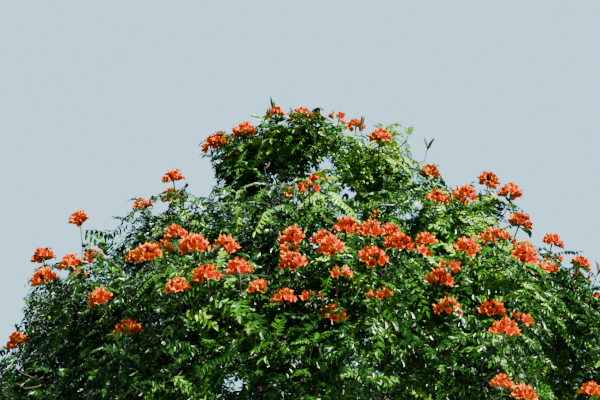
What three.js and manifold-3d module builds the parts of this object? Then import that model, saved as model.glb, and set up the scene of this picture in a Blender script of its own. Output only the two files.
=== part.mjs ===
// African tulip tree in full bloom: a flared trunk with a leader, boughs that rise from it and
// fork, and a broad domed crown of pinnate leaves with orange heads of bloom at the shoot tips.
// Millimetres, +Z up. The origin is the middle of the flat cut at ground level.
// Bearings are degrees in plan from +X towards +Y, and -Y is the side that the crown is seen from.

import * as THREE from "three";
import { mergeVertices } from "three/addons/utils/BufferGeometryUtils.js";
import Module from "manifold-3d";

const wasm = await Module();
wasm.setup();
const { Manifold } = wasm;

// Trunk
const TRUNK_HEIGHT = 4950;
const TRUNK_RADIUS = 205;
const TRUNK_TIP_RADIUS = 74;
const TRUNK_LEAN = { right: 150, front: 60, growth: 1.4 };
const TRUNK_SWAY = { right: 70, back: 35, turns: 0.8 };
const TRUNK_TAPER = 0.9;
const TRUNK_CROWDING = 1.7;
const TRUNK_SIDES = 15;
const TRUNK_STEPS = 9;
const FLARE_RADIUS = 170;
const FLARE_HEIGHT = 330;
const ROOT_LOBES = 5;
const LOBE_DEPTH = 0.42;

// Crown: rings of foliage masses, from the crest down. ring is the distance from the axis,
// height is the mass's middle, reach and rise are its half width and half height.
const CROWN_RINGS = [
  { name: "crest", ring: 230, height: 7720, reach: 640, rise: 500, bearings: [235] },
  { name: "top", ring: 740, height: 7400, reach: 780, rise: 720, bearings: [8, 176] },
  {
    name: "upper", ring: 1700, height: 6420, reach: 980, rise: 820,
    bearings: [10, 56, 110, 170, 218, 264, 314],
  },
  {
    name: "shoulder", ring: 2780, height: 5600, reach: 960, rise: 760,
    bearings: [338, 16, 60, 104, 148, 188, 218, 246, 276, 308],
  },
  {
    name: "skirt", ring: 3190, height: 4740, reach: 1040, rise: 700,
    bearings: [356, 40, 83, 128, 184, 214, 243, 268, 297],
  },
];
const SHOULDER_RING = CROWN_RINGS.find(({ name }) => name === "shoulder").ring;
const CROWN_SHIFT = 80;
const RIGHT_LIFT = 90;
const BACK_LIFT = 170;
const HEART_HEIGHT = 4700;
const SPACE_GAP = 12;

// Limbs: radius at the base and at the tip, and how steeply each kind leaves what carries it.
const LIMBS = {
  crest: { base: 66, tip: 32, climb: 85 },
  top: { base: 58, tip: 30, climb: 66 },
  upper: { base: 68, tip: 30, climb: 52 },
  upperFork: { base: 44, tip: 26, climb: 48 },
  shoulder: { base: 88, tip: 32, climb: 38 },
  shoulderFork: { base: 52, tip: 28, climb: 30 },
  skirt: { base: 40, tip: 24, climb: 8 },
};
const LEADER_SPANS = { top: [4330, 4560], upper: [3560, 4240], shoulder: [2360, 3300] };
const LEADER_SPACING = 0.618;
const FORK_SHARE = { upper: 0.4, shoulder: 0.34, skirt: 0.5 };
const FORK_LEAN = 0.35;
const LIMB_TAPER = 0.8;
const LIMB_RISE = 0.55;
const LIMB_PULLS = [0.38, 0.32];
const LIMB_SIDES = 5;
const LIMB_STEPS = 4;
const COLLAR = { swell: 0.22, fade: 14 };
const SEAT_GAP = 0.35;
const ENTRY_SHARE = 0.62;

// Foliage: branches inside a mass, and the leaf sprays and heads of bloom on them.
const BRANCH_DIRECTIONS = 7;
const LOWEST_RISE = -0.42;
const BRANCH_SHARE = 0.58;
const BRANCH_REACHES = [0.88, 1.06];
const BRANCH_PULLS = [1, 0.86, 0.72, 0.58];
const BRANCH_ROOM = 0.16;
const BRANCH_LIFT = 0.5;
const INWARD_LIMIT = -0.25;
const STEM_TOP = 0.34;
const STEM_BEND = 0.4;
const STEM_SIDES = 4;
const STEM_STEPS = 2;
const STEM_TIP_RADIUS = 22;
const STEM_SPAN = [0.28, 0.92];
const BRANCH_RADIUS = [15, 13];
const SPRAY = { length: 800, width: 500, thick: 16, droop: 150, spread: 72 };
const SPRAY_WIDEST = 0.46;
const SPRAY_FOLD = 0.3;
const SPRAY_SHARES = [0.66, 0.81, 0.96];
const SPRAY_SIZES = [0.9, 1.1];
const SPRAY_SCALES = [1, 0.86, 0.74, 0.62];
const SPRAY_TWISTS = [0, 0.5, -0.5, 1, -1];
const ROOT_DEPTH = 9;
const HEAD = { radius: 165, depth: 150, lobes: 5, waist: 0.62, flare: 0.2, frill: 0.24, lift: 0.8 };
const HEAD_SCALES = [1, 0.86, 0.74];
const BLOOM_RISE = 0;
const BLOOM_CHANCE = { crest: 1, top: 1, upper: 0.95, shoulder: 0.8, skirt: 0.2 };
const LIMB_CLEARANCE = 10;
const SEED = 4061;
const SEED_STEP = 101;

const GOLDEN_ANGLE = Math.PI * (3 - Math.sqrt(5));
const COLOURS = { bark: "#8d7f6c", bough: "#857763", foliage: "#2f5a22" };

const UP = new THREE.Vector3(0, 0, 1);
const WELD = 1e-3;

const radians = (degrees) => (degrees * Math.PI) / 180;
const mix = (a, b, share) => a + (b - a) * share;
const vector = (x, y, z) => new THREE.Vector3(x, y, z);
const heading = (bearing, climb = 0) =>
  vector(Math.cos(bearing) * Math.cos(climb), Math.sin(bearing) * Math.cos(climb), Math.sin(climb));

// A repeatable row of numbers from 0 to 1.
function seededDraws(seed) {
  let state = seed;
  return () => {
    state = (state * 48271) % 2147483647;
    return state / 2147483647;
  };
}

// Solids

function solidOf(geometry) {
  const bare = geometry.clone();
  bare.deleteAttribute("normal");
  bare.deleteAttribute("uv");
  const welded = mergeVertices(bare, WELD);
  const mesh = new wasm.Mesh({
    numProp: 3,
    vertProperties: welded.attributes.position.array,
    triVerts: new Uint32Array(welded.index.array),
  });
  return new Manifold(mesh);
}

function geometryOf(solid) {
  const { vertProperties, triVerts } = solid.getMesh();
  const geometry = new THREE.BufferGeometry();
  geometry.setAttribute("position", new THREE.BufferAttribute(vertProperties, 3));
  geometry.setIndex(new THREE.BufferAttribute(triVerts, 1));
  const shaded = geometry.toNonIndexed();
  shaded.computeVertexNormals();
  return shaded;
}

// Moves each vertex of a geometry by a rule from its old place to its new one.
function reshape(geometry, rule) {
  const place = geometry.attributes.position;
  const point = new THREE.Vector3();
  for (let i = 0; i < place.count; i += 1) {
    const moved = rule(point.fromBufferAttribute(place, i));
    place.setXYZ(i, moved.x, moved.y, moved.z);
  }
  return geometry;
}

// The largest piece of a solid: the scraps that a cut leaves are dropped.
const mainPiece = (solid) => solid.decompose().sort((a, b) => b.volume() - a.volume())[0];

// A tapering tube along a curve: radiusAt gives its radius at each share of the length.
function tubeSolid(curve, radiusAt, sides, steps) {
  const frames = curve.computeFrenetFrames(steps);
  const tube = new THREE.CylinderGeometry(1, 1, 1, sides, steps);
  return solidOf(
    reshape(tube, ({ x, y, z }) => {
      const step = Math.round((y + 0.5) * steps);
      const radius = radiusAt(step / steps);
      return curve
        .getPointAt(step / steps)
        .addScaledVector(frames.binormals[step], x * radius)
        .addScaledVector(frames.normals[step], z * radius);
    }),
  );
}

// Trunk

const trunkRadius = (share) => mix(TRUNK_RADIUS, TRUNK_TIP_RADIUS, share ** TRUNK_TAPER);

function trunkMiddle(height) {
  const share = height / TRUNK_HEIGHT;
  const sway = Math.sin(share * TRUNK_SWAY.turns * 2 * Math.PI);
  const right = TRUNK_LEAN.right * share ** TRUNK_LEAN.growth + TRUNK_SWAY.right * sway;
  return vector(right, TRUNK_SWAY.back * sway - TRUNK_LEAN.front * share, height);
}

function trunkSolid(grow = 0) {
  const column = new THREE.CylinderGeometry(1, 1, 1, TRUNK_SIDES, TRUNK_STEPS);
  return solidOf(
    reshape(column, ({ x, y, z }) => {
      const height = TRUNK_HEIGHT * (y + 0.5) ** TRUNK_CROWDING;
      const lobe = 1 + LOBE_DEPTH * Math.cos(Math.atan2(z, x) * ROOT_LOBES);
      const flare = FLARE_RADIUS * Math.exp(-height / FLARE_HEIGHT) * lobe;
      const radius = trunkRadius(height / TRUNK_HEIGHT) + flare + grow;
      return trunkMiddle(height).add(vector(z * radius, x * radius, 0));
    }),
  );
}

const trunk = { name: "trunk", solid: trunkSolid(), seat: trunkSolid(SEAT_GAP) };

// Masses: each keeps to its own ellipsoid, cut by a plane between it and each neighbour.

const masses = CROWN_RINGS.flatMap(({ name, ring, height, reach, rise, bearings }) =>
  bearings.map((degrees, index) => {
    const bearing = radians(degrees);
    const far = ring / SHOULDER_RING;
    const lift = far * (RIGHT_LIFT * Math.cos(bearing) + BACK_LIFT * Math.sin(bearing));
    const middle = heading(bearing).multiplyScalar(ring).add(vector(CROWN_SHIFT, 0, height + lift));
    return { ring: name, name: `${name}_${index + 1}`, index, bearing, middle, reach, rise };
  }),
);

function walls(mass) {
  return masses
    .filter((other) => other !== mass)
    .map((other) => {
      const across = other.middle.clone().sub(mass.middle);
      const share = mass.reach / (mass.reach + other.reach);
      const limit = across.length() * share - SPACE_GAP;
      return { facing: across.normalize(), limit };
    });
}

for (const mass of masses) mass.walls = walls(mass);

function inSpace(mass, point) {
  const from = point.clone().sub(mass.middle);
  const spread = Math.hypot(from.x, from.y) / mass.reach;
  return (
    Math.hypot(spread, from.z / mass.rise) < 1 &&
    mass.walls.every(({ facing, limit }) => from.dot(facing) < limit)
  );
}

// Boughs: a leader leaves the trunk, a fork leaves the leader before it in its ring, and a
// skirt bough leaves the shoulder bough whose bearing is nearest.

const boughs = new Map();

function limbRadius({ base, tip }) {
  const collar = (share) => 1 + COLLAR.swell * Math.exp(-share * COLLAR.fade);
  return (share) => mix(base, tip, share ** LIMB_TAPER) * collar(share);
}

function addBough(mass, size, carrier, start, startHeading) {
  const towards = mass.middle.clone().sub(start).normalize();
  const entry = mass.middle.clone().addScaledVector(towards, -ENTRY_SHARE * mass.rise);
  const length = entry.distanceTo(start);
  const arrival = towards.clone().addScaledVector(UP, LIMB_RISE).normalize();
  const curve = new THREE.CubicBezierCurve3(
    start,
    start.clone().addScaledVector(startHeading, length * LIMB_PULLS[0]),
    entry.clone().addScaledVector(arrival, -length * LIMB_PULLS[1]),
    entry,
  );
  const radiusAt = limbRadius(size);
  const tube = tubeSolid(curve, radiusAt, LIMB_SIDES, LIMB_STEPS);
  const seat = tubeSolid(curve, (share) => radiusAt(share) + SEAT_GAP, LIMB_SIDES, LIMB_STEPS);
  const solid = carrier ? mainPiece(tube.subtract(carrier.seat)) : tube;
  boughs.set(mass.name, { name: `bough_${mass.name}`, size, curve, solid, seat });
}

function addLeader(mass, count) {
  const size = LIMBS[mass.ring];
  const [low, high] = LEADER_SPANS[mass.ring];
  const turn = (mass.index * LEADER_SPACING) % 1;
  const start = trunkMiddle(mix(low, high, count > 2 ? turn : mass.index));
  addBough(mass, size, trunk, start, heading(mass.bearing, radians(size.climb)));
}

function addFork(mass, carrier, size) {
  const share = FORK_SHARE[mass.ring];
  const start = carrier.curve.getPointAt(share);
  const along = carrier.curve.getTangentAt(share);
  const away = mass.middle.clone().sub(start).setZ(0).normalize();
  const climb = away.multiplyScalar(Math.cos(radians(size.climb)));
  climb.addScaledVector(UP, Math.sin(radians(size.climb)));
  addBough(mass, size, carrier, start, climb.addScaledVector(along, FORK_LEAN).normalize());
}

const turnBetween = (a, b) => Math.abs(Math.atan2(Math.sin(a - b), Math.cos(a - b)));

for (const mass of masses) {
  const mates = masses.filter((other) => other.ring === mass.ring);
  if (mass.ring === "crest") {
    const start = trunkMiddle(TRUNK_HEIGHT + SEAT_GAP);
    addBough(mass, LIMBS.crest, null, start, UP.clone());
  } else if (mass.ring === "skirt") {
    const shoulders = masses.filter((other) => other.ring === "shoulder");
    shoulders.sort(
      (a, b) => turnBetween(a.bearing, mass.bearing) - turnBetween(b.bearing, mass.bearing),
    );
    addFork(mass, boughs.get(shoulders[0].name), LIMBS.skirt);
  } else if (mass.ring !== "top" && mass.index % 2 === 1) {
    const before = mates[mass.index - 1];
    addFork(mass, boughs.get(before.name), LIMBS[`${mass.ring}Fork`]);
  } else {
    addLeader(mass, mates.length);
  }
}

function boxesMeet(a, b) {
  return [0, 1, 2].every(
    (i) => a.min[i] < b.max[i] + LIMB_CLEARANCE && b.min[i] < a.max[i] + LIMB_CLEARANCE,
  );
}

function meets(solid, other) {
  return boxesMeet(solid.boundingBox(), other.boundingBox()) && !solid.intersect(other).isEmpty();
}

const limbSeats = [...boughs.values(), trunk].map(({ seat }) => seat);
const touchesLimb = (solid) => limbSeats.some((seat) => meets(solid, seat));

// Leaf sprays, heads of bloom and branches

// A spray is a flat eight-faced blade that arches over: its root is sunk to the branch's middle
// and its face looks the way that the branch grows.
function spray(root, along, facing, scale) {
  const length = SPRAY.length * scale;
  const across = facing.clone().cross(along).normalize();
  const over = along.clone().cross(across);
  const blade = new THREE.OctahedronGeometry(1);
  return reshape(blade, ({ x, y, z }) => {
    const share = Math.abs(x) > 0.5 ? (x + 1) / 2 : SPRAY_WIDEST;
    const fall = SPRAY.droop * scale * (share ** 2 + SPRAY_FOLD * Math.abs(y));
    return root
      .clone()
      .addScaledVector(along, length * share)
      .addScaledVector(across, (y * SPRAY.width * scale) / 2)
      .addScaledVector(over, (z * SPRAY.thick) / 2)
      .addScaledVector(UP, -fall);
  });
}

// A head of bloom is a lobed cup that stands on the end of its shoot.
function bloomHead(root, along, scale) {
  const side = vector(1, 0, 0).cross(along).normalize();
  const other = along.clone().cross(side);
  const cup = new THREE.SphereGeometry(1, HEAD.lobes * 2, 2);
  return reshape(cup, ({ x, y, z }) => {
    const point = root.clone();
    if (y < -0.5) return point;
    if (y > 0.5) return point.addScaledVector(along, HEAD.depth * HEAD.waist * scale);
    const turn = Math.atan2(z, x);
    const lobe = Math.cos(turn * HEAD.lobes);
    const radius = HEAD.radius * (1 + HEAD.flare * lobe) * scale;
    return point
      .addScaledVector(side, radius * Math.sin(turn))
      .addScaledVector(other, radius * Math.cos(turn))
      .addScaledVector(along, HEAD.depth * (HEAD.waist + HEAD.frill * lobe) * scale);
  });
}

function stemCurve(mass, { curve }) {
  const along = curve.getTangentAt(1);
  const start = curve.getPointAt(1).addScaledVector(along, SEAT_GAP);
  const top = mass.middle.clone().addScaledVector(UP, mass.rise * STEM_TOP);
  const bend = start.clone().addScaledVector(along, top.distanceTo(start) * STEM_BEND);
  return new THREE.QuadraticBezierCurve3(start, bend, top);
}

// The end of a branch in one of the mass's directions, drawn in until it is in the mass's space.
function branchEnd(mass, direction, share) {
  const across = vector(direction.x * mass.reach, direction.y * mass.reach, direction.z * mass.rise);
  for (const pull of BRANCH_PULLS) {
    const end = mass.middle.clone().addScaledVector(across, share * pull);
    const room = mass.middle.clone().addScaledVector(across, share * pull + BRANCH_ROOM);
    if (inSpace(mass, room)) return end;
  }
  return null;
}

// The solid of a spray or head that keeps to its mass's space and clear of all else, or nothing.
function fitted(mass, clear, geometry) {
  const place = geometry.attributes.position;
  const corner = new THREE.Vector3();
  for (let i = 0; i < place.count; i += 1) {
    if (!inSpace(mass, corner.fromBufferAttribute(place, i))) return null;
  }
  const solid = solidOf(geometry);
  return touchesLimb(solid) || !clear(solid) ? null : solid;
}

// The largest spray that fits at a root, turned a little either way if need be.
function fitSpray(mass, clear, root, along, turn, size) {
  const side = vector(along.y, -along.x, 0).normalize();
  const lean = radians(SPRAY.spread);
  for (const scale of SPRAY_SCALES) {
    for (const twist of SPRAY_TWISTS) {
      const out = side.clone().applyAxisAngle(along, turn + twist);
      const reach = along.clone().multiplyScalar(Math.cos(lean)).addScaledVector(out, Math.sin(lean));
      const solid = fitted(mass, clear, spray(root, reach, along, scale * size));
      if (solid) return solid;
    }
  }
  return null;
}

// Branches leave the stem in directions spread evenly from low to high round the mass.
function branchesOf(mass, stem, draw) {
  const outward = mass.middle.clone().setZ(mass.middle.z - HEART_HEIGHT).normalize();
  const branches = [];
  for (let k = 0; k < BRANCH_DIRECTIONS; k += 1) {
    const step = (k + 0.5) / BRANCH_DIRECTIONS;
    const direction = heading(mass.bearing + k * GOLDEN_ANGLE, Math.asin(mix(LOWEST_RISE, 1, step)));
    const [reach, turn, bloom, size] = [draw(), draw(), draw(), draw()];
    const end = branchEnd(mass, direction, BRANCH_SHARE * mix(...BRANCH_REACHES, reach));
    if (!end || direction.dot(outward) < INWARD_LIMIT) continue;
    const curve = new THREE.LineCurve3(stem.getPointAt(mix(...STEM_SPAN, step)), end);
    const solid = tubeSolid(curve, (share) => mix(...BRANCH_RADIUS, share), 3, 1);
    if (touchesLimb(solid)) continue;
    const blooms = direction.z > BLOOM_RISE && bloom < BLOOM_CHANCE[mass.ring];
    branches.push({ curve, solid, turn, blooms, size: mix(...SPRAY_SIZES, size) });
  }
  return branches;
}

// A mass is one body: its stem, branches, leaf sprays and heads of bloom.
function massSolid(mass, order) {
  const bough = boughs.get(mass.name);
  const stem = stemCurve(mass, bough);
  const stemRadius = (share) => mix(bough.size.tip - 1, STEM_TIP_RADIUS, share);
  const stemSolid = tubeSolid(stem, stemRadius, STEM_SIDES, STEM_STEPS);
  const branches = branchesOf(mass, stem, seededDraws(SEED + order * SEED_STEP));
  const blades = [];
  for (const branch of branches) {
    const forward = branch.curve.getTangentAt(1);
    const along = forward.clone().addScaledVector(UP, BRANCH_LIFT).normalize();
    const others = branches.filter((other) => other !== branch).map(({ solid }) => solid);
    const clear = (solid) => ![stemSolid, ...others, ...blades].some((other) => meets(solid, other));
    if (branch.blooms) {
      const upward = along.clone().addScaledVector(UP, HEAD.lift).normalize();
      const root = branch.curve.getPointAt(1).addScaledVector(forward, -ROOT_DEPTH);
      const heads = HEAD_SCALES.map((scale) => bloomHead(root, upward, scale));
      const fitting = heads.map((head) => fitted(mass, clear, head)).find((head) => head);
      if (fitting) blades.push(fitting);
    }
    const shares = branch.blooms ? SPRAY_SHARES.slice(0, -1) : SPRAY_SHARES;
    shares.forEach((share, index) => {
      const turn = (branch.turn + index / shares.length) * 2 * Math.PI;
      const root = branch.curve.getPointAt(share);
      const blade = fitSpray(mass, clear, root, along, turn, branch.size);
      if (blade) blades.push(blade);
    });
  }
  return mainPiece(Manifold.union([stemSolid, ...branches.map(({ solid }) => solid), ...blades]));
}

// The assembly

function mesh(name, solid, colour) {
  const finish = new THREE.MeshStandardMaterial({ color: colour, roughness: 0.8, metalness: 0 });
  const made = new THREE.Mesh(geometryOf(solid), finish);
  made.name = name;
  return made;
}

const tree = new THREE.Group();
tree.add(mesh(trunk.name, trunk.solid, COLOURS.bark));
for (const bough of boughs.values()) tree.add(mesh(bough.name, bough.solid, COLOURS.bough));
masses.forEach((mass, order) => {
  tree.add(mesh(`foliage_${mass.name}`, massSolid(mass, order), COLOURS.foliage));
});

export default tree;
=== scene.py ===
# African tulip tree in full bloom: barked limbs, twigs, pinnate leaves, heads of orange-red bells,
# dark bud domes and a few upright pods. Metres, +Z up, -Y is the side that the crown is seen from.
import math

import bpy
import numpy as np
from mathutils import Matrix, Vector, noise
from mathutils.bvhtree import BVHTree
from numpy.linalg import norm


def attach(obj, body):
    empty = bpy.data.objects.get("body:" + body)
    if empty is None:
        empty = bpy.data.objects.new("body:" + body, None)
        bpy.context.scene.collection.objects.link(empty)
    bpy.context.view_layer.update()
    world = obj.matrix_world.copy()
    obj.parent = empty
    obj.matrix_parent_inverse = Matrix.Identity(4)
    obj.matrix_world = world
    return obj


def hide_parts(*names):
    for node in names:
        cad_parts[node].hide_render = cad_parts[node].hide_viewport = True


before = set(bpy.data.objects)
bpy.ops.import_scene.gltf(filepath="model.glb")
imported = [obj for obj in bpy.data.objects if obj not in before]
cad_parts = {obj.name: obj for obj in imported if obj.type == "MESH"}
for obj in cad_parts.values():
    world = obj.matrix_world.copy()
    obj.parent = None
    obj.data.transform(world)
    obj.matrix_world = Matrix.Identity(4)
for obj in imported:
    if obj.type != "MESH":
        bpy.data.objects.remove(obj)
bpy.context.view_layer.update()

# Trunk
TRUNK_HEIGHT = 4.95
TRUNK_RADIUS = 0.205
TRUNK_TIP_RADIUS = 0.074
TRUNK_LEAN = {"right": 0.15, "front": 0.06, "growth": 1.4}
TRUNK_SWAY = {"right": 0.07, "back": 0.035, "turns": 0.8}
TRUNK_TAPER = 0.9
FLARE_RADIUS = 0.17
FLARE_HEIGHT = 0.33
ROOT_LOBES = 5
LOBE_DEPTH = 0.42
TRUNK_SIDES = 84
TRUNK_STEPS = 150
STEP_GROWTH = 1.35

# Crown: each ring's name, distance from the axis, height, reach, rise and bearings.
CROWN_RINGS = (
    ("crest", 0.23, 7.72, 0.64, 0.50, (235,)),
    ("top", 0.74, 7.40, 0.78, 0.72, (8, 176)),
    ("upper", 1.70, 6.42, 0.98, 0.82, (10, 56, 110, 170, 218, 264, 314)),
    ("shoulder", 2.78, 5.60, 0.96, 0.76, (338, 16, 60, 104, 148, 188, 218, 246, 276, 308)),
    ("skirt", 3.19, 4.74, 1.04, 0.70, (356, 40, 83, 128, 184, 214, 243, 268, 297)),
)
SHOULDER_RING = 2.78
CROWN_SHIFT = 0.08
RIGHT_LIFT = 0.09
BACK_LIFT = 0.17
HEART_HEIGHT = 4.7
SPACE_GAP = 0.012

# Limbs: base and tip radius, and the climb with which each kind leaves what carries it.
LIMBS = {
    "crest": (0.066, 0.032, 85), "top": (0.058, 0.030, 66), "upper": (0.068, 0.030, 52),
    "upper_fork": (0.044, 0.026, 48), "shoulder": (0.088, 0.032, 38),
    "shoulder_fork": (0.052, 0.028, 30), "skirt": (0.040, 0.024, 8),
}
LEADER_SPANS = {"top": (4.33, 4.56), "upper": (3.56, 4.24), "shoulder": (2.36, 3.30)}
LEADER_SPACING = 0.618
FORK_SHARE = {"upper": 0.4, "shoulder": 0.34, "skirt": 0.5}
FORK_LEAN = 0.35
LIMB_TAPER = 0.8
LIMB_RISE = 0.55
LIMB_PULLS = (0.38, 0.32)
COLLAR = {"swell": 0.22, "fade": 14}
ENTRY_SHARE = 0.62
THICK_LIMB = 0.05
LIMB_SIDES = {"thick": 18, "thin": 14}
LIMB_STEP = 0.055
LEAST_LIMB_STEPS = 12

# Bark: upright ridges and smaller lumps, as shares of the limb's radius.
BARK_DEPTH = 0.10
BARK_SCALE = {"trunk": 15.0, "limb": 14.0}
RIDGES = {"level": 0.35, "height": 1.3, "stretch": 0.15}
LUMPS = {"height": 0.35, "across": 2.6, "along": 0.8}

# Branches inside a mass, by the same rule and draws as the solids.
BRANCH_DIRECTIONS = 7
LOWEST_RISE = -0.42
BRANCH_SHARE = 0.58
BRANCH_REACHES = (0.88, 1.06)
BRANCH_PULLS = (1, 0.86, 0.72, 0.58)
BRANCH_ROOM = 0.16
INWARD_LIMIT = -0.25
STEM_TOP = 0.34
STEM_BEND = 0.4
STEM_SPAN = (0.28, 0.92)
STEM_TIP_RADIUS = 0.022
BRANCH_RADIUS = (0.015, 0.011)
BRANCH_SAG = 0.03
SEED = 4061
SEED_STEP = 101
DRAW_FACTOR, DRAW_RANGE = 48271, 2**31 - 1
DRAWS_A_BRANCH = 4
GROWTH_SEED = 4166

# Shoots, the finer twigs: how many directions a mass has, and how far out their tips stand.
SHOOT_DIRECTIONS = 36
SHOOT_SHARES = (0.56, 0.80)
INNER_SHOOTS = 12
INNER_SHARE = (0.15, 0.42)
INNER_TURN = 1
INWARD_KEPT = 0.8
SHOOT_RADIUS = (0.010, 0.006)
SHOOT_SCATTER = 0.12
FAR_INWARD = -0.35
SHOOT_AIM = {"out": 0.55, "along": 0.35, "up": 0.6, "scatter": 0.14}
SHOOT_PULLS = (0.3, 0.42)
START_SHARES = np.linspace(0.35, 0.95, 7)
STARTS_BACK = 2
TWIG_MESH = {"stem": (9, 7), "branch": (6, 5), "shoot": (5, 4)}
PATH_SAMPLES = {"limb": 96, "branch": 12, "shoot": 16}

# Leaves: the fine ones show, the broad ones fill the inside of a mass. Angles are in degrees.
LEAVES_A_SHOOT = {True: 8, False: 6}
LEAF_LENGTH = (0.30, 0.42)
SHORT_LEAVES = (0.28, 0.23)
LEAF_POLARS = {"bloom": 58, "plain": 34, "last": 104, "scatter": 7}
LEAF_TURN_SCATTER = 0.2
LEAF_FEET = (0.02, 0.3)
LEAF_FOOT_REACH = 0.2
LEAF_KINDS = {
    "fine": {"pairs": 8, "length": 0.088, "width": 0.032},
    "broad": {"pairs": 5, "length": 0.122, "width": 0.060},
}
LEAF_SPAN = (0.18, 0.93)
LEAFLET_FOLD = 0.2
LEAFLET_LEAN = (14, 46)
LEAFLET_HANG = (0.05, 0.75)
LEAFLET_SCATTER = {"hang": 0.16, "stretch": 0.12, "tilt": 0.34, "length": (0.88, 1.1)}
LEAFLET_TAPER = {"depth": 0.24, "widest": 1.15}
# A leaflet's outline: how far each point is along, across, up its fold and up at the tip.
LEAFLET_OUTLINE = (
    (0, 0, 0, 0), (0.30, 1, 1, 0), (0.70, 0.78, 0.7, 0), (1, 0, 0, -0.10),
    (0.70, -0.78, 0.7, 0), (0.30, -1, 1, 0),
)
LEAFLET_QUADS = np.array([[0, 5, 4, 3], [0, 3, 2, 1]])
LEAF_FACING = {"up": 0.8, "out": 0.7, "scatter": 0.28}
LEAF_DROOP = (0.22, 0.62)
LEAF_LYING = {"least": 0.6, "more": 0.5}
LEAF_CURL = 0.1
LEAF_OVERREACH = {"along": 1.1, "down": 1.15}
LIMB_CLEARANCE = 0.04
MIDRIB_SHARES = [0.0, 0.5, 1.0]
MIDRIB_RADII = np.array([0.0035, 0.0026, 0.0014])
MIDRIB_TURNS = (math.pi / 2, math.pi * 7 / 6, math.pi * 11 / 6)

# Limits: how far past a mass leaves reach, and the crown's edge and top for leaves, shoots and heads.
REACH_EASE = 0.04
CROWN_EDGE = 3.93
CROWN_TOP = 8.12
SHOOT_TOP = 7.94
HEAD_EDGE = 3.86
HEAD_TOP = 7.95

# Tones of the leaves, from dark to light. A shoot's lightness drifts at random over the crown, and painted
# light and shade are added to it: lighter to the right, high up and on the crest and top masses, as if
# sunlit, and darker low down and on three upper masses, as if shaded. Each tone but the first has the least
# lightness that its leaves need.
TONES = ("deep", "mid", "bright", "yellow")
LEAST_LIGHTNESS = (("yellow", 0.90), ("bright", 0.50), ("mid", 0.12))
# Painted light and shade: lightness added to the leaves of some masses, lighter on the crest and top as if
# sunlit, darker on three upper masses as if shaded.
PAINTED_LIGHT_AND_SHADE_BY_MASS = {
    "crest_1": 0.2, "top_1": 0.45, "top_2": 0.25, "upper_4": -0.35, "upper_5": -0.3, "upper_6": -0.2,
}
TONE_DRIFT = {"shift": np.array([3.1, 0.4, 1.7]), "scale": 1.5, "share": 0.7}
TONE_SCATTER = {"shoot": 0.16, "leaf": 0.24}
# Painted light and shade by height: leaves lighter above SHADE_HEIGHT and darker below it, partly the darker
# green of shade leaves.
SHADE_LEAF_AND_PAINTED_LIGHT_BY_HEIGHT = 0.12
SHADE_HEIGHT = 6.0
SHADE_SPAN = (-1.5, 0.7)
# Painted light: leaves lighter towards the right, where the key lamp shines from, and darker towards the
# left.
PAINTED_SUNLIT_SIDE_TONE = 0.08

# Pieces of foliage: the rings of the crown that each holds.
LEVELS = {"high": ("crest", "top", "upper"), "broad": ("shoulder",), "low": ("skirt",)}

# Openings through the crown, seen from the front: place across and height on the middle plane of
# the crown, and how far each goes either side of it.
VIEWER = np.array([-0.06, -22.0, 1.6])
OPENINGS = (
    (-0.38, 7.35, 0.07, 0.11), (-0.02, 7.49, 0.09, 0.07), (0.24, 7.51, 0.10, 0.10),
    (1.22, 6.91, 0.08, 0.08), (1.26, 7.06, 0.07, 0.07), (1.32, 7.33, 0.09, 0.08),
    (0.12, 6.58, 0.08, 0.10), (0.80, 7.90, 0.08, 0.08), (1.92, 7.21, 0.08, 0.08),
    (-1.71, 7.00, 0.13, 0.10), (-2.00, 6.74, 0.09, 0.08), (2.06, 6.02, 0.07, 0.06),
    (-0.78, 4.92, 0.15, 0.11), (-0.52, 4.86, 0.08, 0.08), (-0.07, 5.23, 0.08, 0.06),
    (3.00, 6.35, 0.07, 0.06),
)
# Places beside and over the crown, written in the same way, that nothing grows into.
CLEAR_PLACES = (
    (1.42, 7.82, 0.24, 0.28), (1.66, 7.42, 0.11, 0.20), (-1.20, 7.36, 0.15, 0.30),
    (-1.03, 8.07, 0.38, 0.16), (-1.80, 7.27, 0.18, 0.10), (-3.66, 5.85, 0.24, 0.42),
    (-3.48, 5.84, 0.26, 0.45), (3.42, 6.42, 0.28, 0.36), (3.06, 6.72, 0.20, 0.12),
)
# How far out from an opening's middle shoots and leaves are kept, as a share of its size.
OPENING_SHARES = {"shoot": (0.7, 1.1), "leaf": (0.7, 1.25)}

# Heads of bloom
BLOOM_CHANCE = {"crest": 0.7, "top": 0.8, "upper": 0.34, "shoulder": 0.70, "skirt": 0.30}
BLOOM_HEIGHTS = (4.2, 4.9)
BLOOM_SIDE = {"right": 0.25, "front": 0.35}
HEAD_SPACING = (0.20, 0.31)
HEAD_SCALE = (0.78, 1.01)
HEAD_STALK = (0.09, 0.24)
HEAD_UPRIGHT = 0.5
HEAD_ROOM = 0.41
ROOM_UPRIGHT = 0.4
LEAST_CHANCE = 0.06
YOUNG_SHARE = 0.18
HEAD_TIERS = (
    {"bells": (7, 9), "young_bells": 3, "polars": (34, 74), "out": 0.062, "rise": -0.03},
    {"bells": (3, 5), "young_bells": 0, "polars": (6, 30), "out": 0.034, "rise": 0.02},
)

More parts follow.
